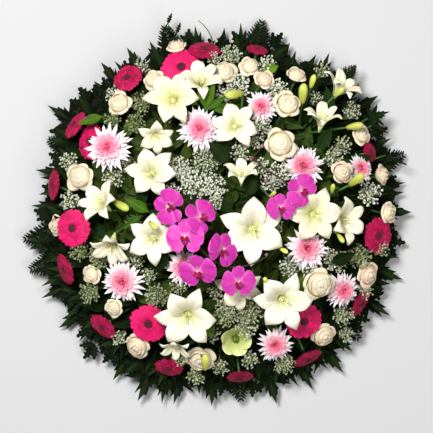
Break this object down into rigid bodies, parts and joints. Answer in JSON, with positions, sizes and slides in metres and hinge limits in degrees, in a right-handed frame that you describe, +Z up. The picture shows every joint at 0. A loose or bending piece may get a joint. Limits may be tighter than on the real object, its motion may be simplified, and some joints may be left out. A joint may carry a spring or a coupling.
{
  "type": "floral wreath",
  "caption": "Closed, domed funeral wreath of cut flowers in a foam-filled tray, lying on its flat back, with a ragged rim of dark leaves.",
  "frame": {"origin": "middle of the flat underside of the tray, on which the wreath lies", "axes": "+Z up out of the flowers, +Y to the top of the picture, +X to its right"},
  "size_m": [0.8944, 0.8914, 0.2574],
  "materials": {
    "lily_flowers": "satin",
    "rose_flowers": "matte",
    "gerbera_flowers": "satin",
    "chrysanthemum_flowers": "matte",
    "orchid_flowers": "satin",
    "filler_flowers": "matte",
    "foliage": "satin",
    "floral_foam": "matte",
    "tray": "matte"
  },
  "bodies": {
    "root": {"lily_1": "lily_flowers", "lily_2": "lily_flowers", "lily_3": "lily_flowers", "lily_4": "lily_flowers", "lily_5": "lily_flowers", "lily_6": "lily_flowers", "lily_7": "lily_flowers", "lily_8": "lily_flowers", "lily_9": "lily_flowers", "rose_1": "rose_flowers", "rose_2": "rose_flowers", "rose_3": "rose_flowers", "rose_4": "rose_flowers", "rose_5": "rose_flowers", "rose_6": "rose_flowers", "rose_7": "rose_flowers", "rose_8": "rose_flowers", "rose_9": "rose_flowers", "rose_10": "rose_flowers", "rose_11": "rose_flowers", "rose_12": "rose_flowers", "rose_13": "rose_flowers", "gerbera_1": "gerbera_flowers", "gerbera_2": "gerbera_flowers", "gerbera_3": "gerbera_flowers", "gerbera_4": "gerbera_flowers", "gerbera_5": "gerbera_flowers", "gerbera_6": "gerbera_flowers", "gerbera_7": "gerbera_flowers", "gerbera_8": "gerbera_flowers", "gerbera_9": "gerbera_flowers", "gerbera_10": "gerbera_flowers", "gerbera_11": "gerbera_flowers", "gerbera_12": "gerbera_flowers", "gerbera_13": "gerbera_flowers", "chrysanthemum_1": "chrysanthemum_flowers", "chrysanthemum_2": "chrysanthemum_flowers", "chrysanthemum_3": "chrysanthemum_flowers", "chrysanthemum_4": "chrysanthemum_flowers", "chrysanthemum_5": "chrysanthemum_flowers", "chrysanthemum_6": "chrysanthemum_flowers", "chrysanthemum_7": "chrysanthemum_flowers", "chrysanthemum_8": "chrysanthemum_flowers", "chrysanthemum_9": "chrysanthemum_flowers", "orchid_1": "orchid_flowers", "orchid_2": "orchid_flowers", "filler_1": "filler_flowers", "filler_2": "filler_flowers", "filler_3": "filler_flowers", "filler_4": "filler_flowers", "filler_5": "filler_flowers", "filler_6": "filler_flowers", "foliage_1": "foliage", "foliage_2": "foliage", "foliage_3": "foliage", "foliage_4": "foliage", "foliage_5": "foliage", "foliage_6": "foliage", "foam": "floral_foam", "tray": "tray"}
  },
  "joints": []
}
